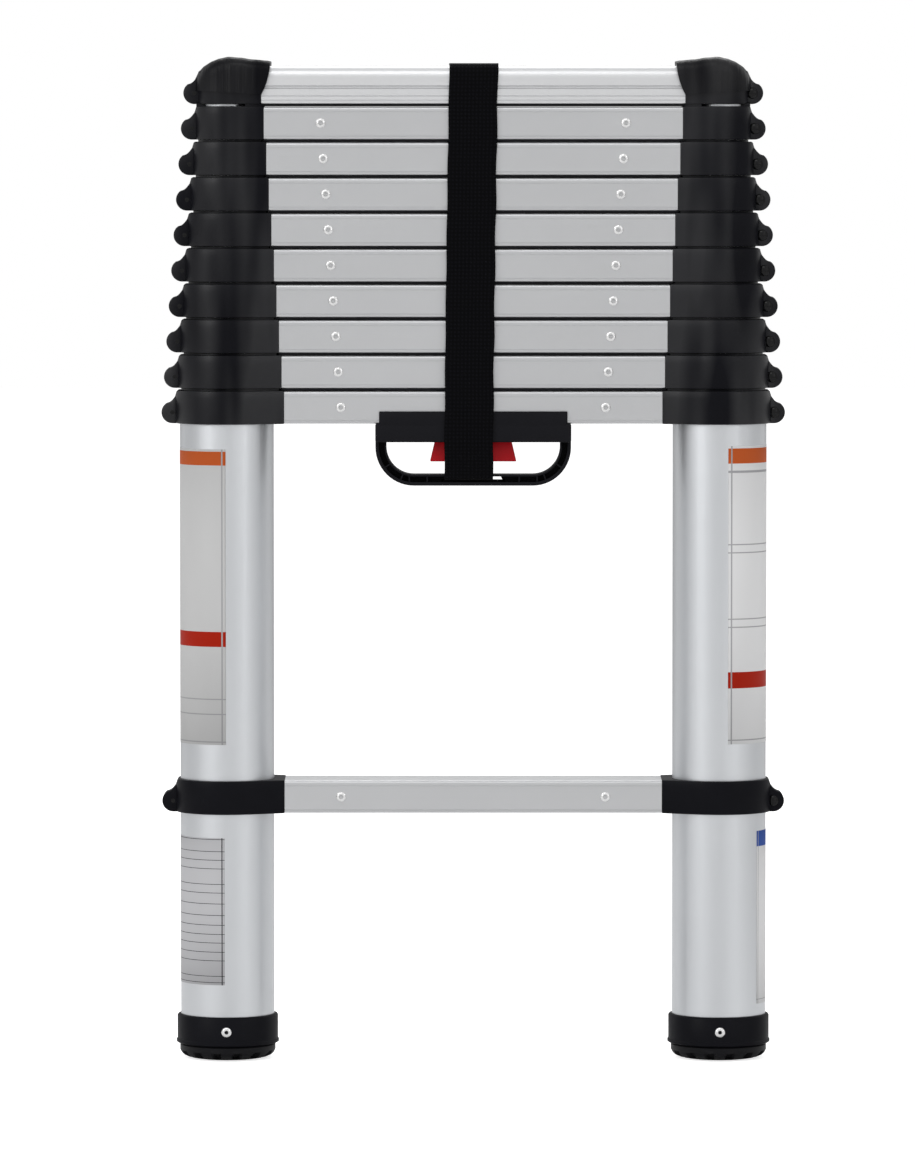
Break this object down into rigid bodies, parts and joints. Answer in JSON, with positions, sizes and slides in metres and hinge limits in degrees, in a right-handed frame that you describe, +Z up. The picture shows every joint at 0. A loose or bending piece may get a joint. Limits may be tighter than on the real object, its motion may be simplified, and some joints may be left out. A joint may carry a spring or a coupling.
{
  "type": "telescoping ladder",
  "caption": "Telescoping aluminium ladder, closed for carrying: nested round tubes, stacked rungs in black collars, carry handle with release trigger, strap and rubber feet.",
  "frame": {"origin": "on the ground, midway between the two columns", "axes": "+X to the right along the rungs, +Y to the back, +Z up along the tubes"},
  "size_m": [0.4878, 0.0824, 0.7859],
  "materials": {
    "tube_aluminium": "satin",
    "nylon": "matte",
    "rubber": "matte",
    "steel": "satin",
    "handle_nylon": "matte",
    "trigger_red": "satin",
    "webbing": "woven"
  },
  "bodies": {
    "base_section": {"base_tubes": "tube_aluminium", "foot_sockets": "nylon", "foot_pads": "rubber", "bottom_rung": "tube_aluminium", "bottom_rung_collars": "nylon", "rung_1": "tube_aluminium", "rung_1_collars": "nylon", "carry_handle": "handle_nylon", "release_springs": "steel", "base_fasteners": "steel", "strap": "webbing"},
    "section_2": {"section_2_tubes": "tube_aluminium", "section_2_guides": "nylon", "rung_2": "tube_aluminium", "rung_2_collars": "nylon", "rung_2_locks": "steel"},
    "section_3": {"section_3_tubes": "tube_aluminium", "section_3_guides": "nylon", "rung_3": "tube_aluminium", "rung_3_collars": "nylon", "rung_3_locks": "steel"},
    "section_4": {"section_4_tubes": "tube_aluminium", "section_4_guides": "nylon", "rung_4": "tube_aluminium", "rung_4_collars": "nylon", "rung_4_locks": "steel"},
    "section_5": {"section_5_tubes": "tube_aluminium", "section_5_guides": "nylon", "rung_5": "tube_aluminium", "rung_5_collars": "nylon", "rung_5_locks": "steel"},
    "section_6": {"section_6_tubes": "tube_aluminium", "section_6_guides": "nylon", "rung_6": "tube_aluminium", "rung_6_collars": "nylon", "rung_6_locks": "steel"},
    "section_7": {"section_7_tubes": "tube_aluminium", "section_7_guides": "nylon", "rung_7": "tube_aluminium", "rung_7_collars": "nylon", "rung_7_locks": "steel"},
    "section_8": {"section_8_tubes": "tube_aluminium", "section_8_guides": "nylon", "rung_8": "tube_aluminium", "rung_8_collars": "nylon", "rung_8_locks": "steel"},
    "section_9": {"section_9_tubes": "tube_aluminium", "section_9_guides": "nylon", "rung_9": "tube_aluminium", "rung_9_collars": "nylon", "rung_9_locks": "steel"},
    "section_10": {"section_10_tubes": "tube_aluminium", "section_10_guides": "nylon", "top_rung": "tube_aluminium", "rung_10_collars": "nylon", "end_caps": "rubber", "top_rung_fasteners": "steel"},
    "trigger": {"release_trigger": "trigger_red"},
    "left_pin": {"left_lock_pin": "steel"},
    "right_pin": {"right_lock_pin": "steel"}
  },
  "joints": [
    {"name": "section_2_slide", "type": "slide", "parent": "base_section", "child": "section_2", "axis": [0, 0, 1], "range_m": [0, 0.2771], "deforming": ["strap"]},
    {"name": "section_3_slide", "type": "slide", "parent": "section_2", "child": "section_3", "axis": [0, 0, 1], "range_m": [0, 0.2771], "deforming": ["strap"]},
    {"name": "section_4_slide", "type": "slide", "parent": "section_3", "child": "section_4", "axis": [0, 0, 1], "range_m": [0, 0.2771], "deforming": ["strap"]},
    {"name": "section_5_slide", "type": "slide", "parent": "section_4", "child": "section_5", "axis": [0, 0, 1], "range_m": [0, 0.2771], "deforming": ["strap"]},
    {"name": "section_6_slide", "type": "slide", "parent": "section_5", "child": "section_6", "axis": [0, 0, 1], "range_m": [0, 0.2771], "deforming": ["strap"]},
    {"name": "section_7_slide", "type": "slide", "parent": "section_6", "child": "section_7", "axis": [0, 0, 1], "range_m": [0, 0.2771], "deforming": ["strap"]},
    {"name": "section_8_slide", "type": "slide", "parent": "section_7", "child": "section_8", "axis": [0, 0, 1], "range_m": [0, 0.2771], "deforming": ["strap"]},
    {"name": "section_9_slide", "type": "slide", "parent": "section_8", "child": "section_9", "axis": [0, 0, 1], "range_m": [0, 0.2771], "deforming": ["strap"]},
    {"name": "section_10_slide", "type": "slide", "parent": "section_9", "child": "section_10", "axis": [0, 0, 1], "range_m": [0, 0.2771], "deforming": ["strap"]},
    {"name": "trigger_press", "type": "slide", "parent": "base_section", "child": "trigger", "axis": [0, 0, 1], "range_m": [0, 0.007], "stiffness_N_per_m": 2500, "springref_m": -0.003, "deforming": ["release_springs"]},
    {"name": "left_pin_pull", "type": "slide", "parent": "base_section", "child": "left_pin", "axis": [1, 0, 0], "range_m": [0, 0.0042]},
    {"name": "right_pin_pull", "type": "slide", "parent": "base_section", "child": "right_pin", "axis": [-1, 0, 0], "range_m": [0, 0.0042]}
  ],
  "couplings": [
    {"joint": "left_pin_pull", "follows": "trigger_press", "ratio": 0.6},
    {"joint": "right_pin_pull", "follows": "trigger_press", "ratio": 0.6}
  ]
}
